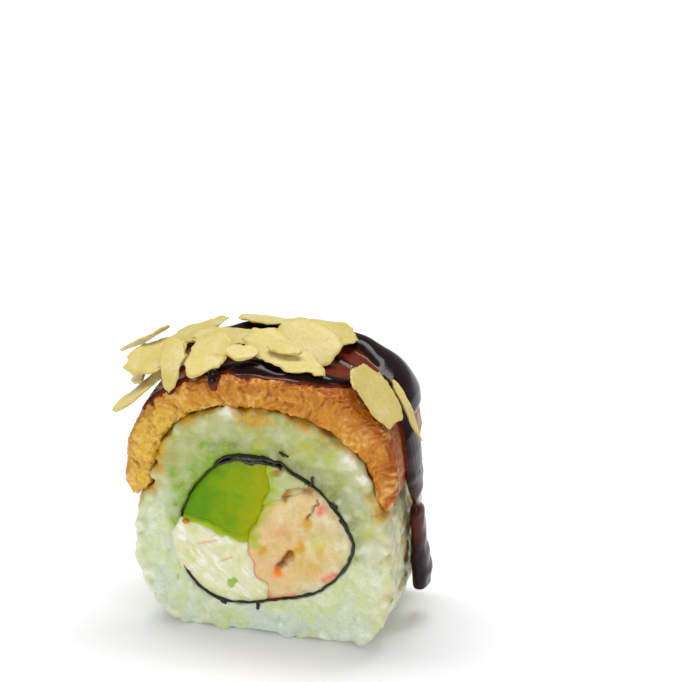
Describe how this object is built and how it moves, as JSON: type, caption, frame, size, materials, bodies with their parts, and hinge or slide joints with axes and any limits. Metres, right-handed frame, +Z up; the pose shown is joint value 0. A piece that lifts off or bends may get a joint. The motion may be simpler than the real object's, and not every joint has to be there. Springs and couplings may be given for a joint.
{
  "type": "uramaki roll",
  "caption": "Slice of uramaki roll: rice round a nori tube of avocado, shrimp and cream cheese, under an arched eel fillet with dark sauce running down and almond flakes on top.",
  "frame": {"origin": "on the flat base of the rice, under the middle of the roll", "axes": "+Z up, X across the slice with the eel's long side of sauce at +X, Y along the roll with the shown cut facing -Y"},
  "size_m": [0.053, 0.0241, 0.0517],
  "materials": {
    "rice": "moist, sticky, slightly see-through grains",
    "nori": "damp matt seaweed sheet",
    "avocado": "smooth buttery flesh, yellower at the rim",
    "cream_cheese": "soft, slightly shiny, smeared by the knife",
    "shrimp": "wet boiled flesh with a pink edge",
    "eel": "flaky grilled flesh under thick glossy dark sauce",
    "almond": "dry, waxy, finely grained"
  },
  "bodies": {
    "root": {"rice": "rice", "nori": "nori", "avocado": "avocado", "cream_cheese": "cream_cheese", "shrimp": "shrimp", "shrimp_tail": "shrimp", "eel": "eel", "almond_flake_01": "almond", "almond_flake_02": "almond", "almond_flake_03": "almond", "almond_flake_04": "almond", "almond_flake_05": "almond", "almond_flake_06": "almond", "almond_flake_07": "almond", "almond_flake_08": "almond", "almond_flake_09": "almond", "almond_flake_10": "almond", "almond_flake_11": "almond", "almond_flake_12": "almond", "almond_flake_13": "almond", "almond_flake_14": "almond", "almond_flake_15": "almond", "almond_flake_16": "almond", "almond_flake_17": "almond"}
  },
  "joints": []
}
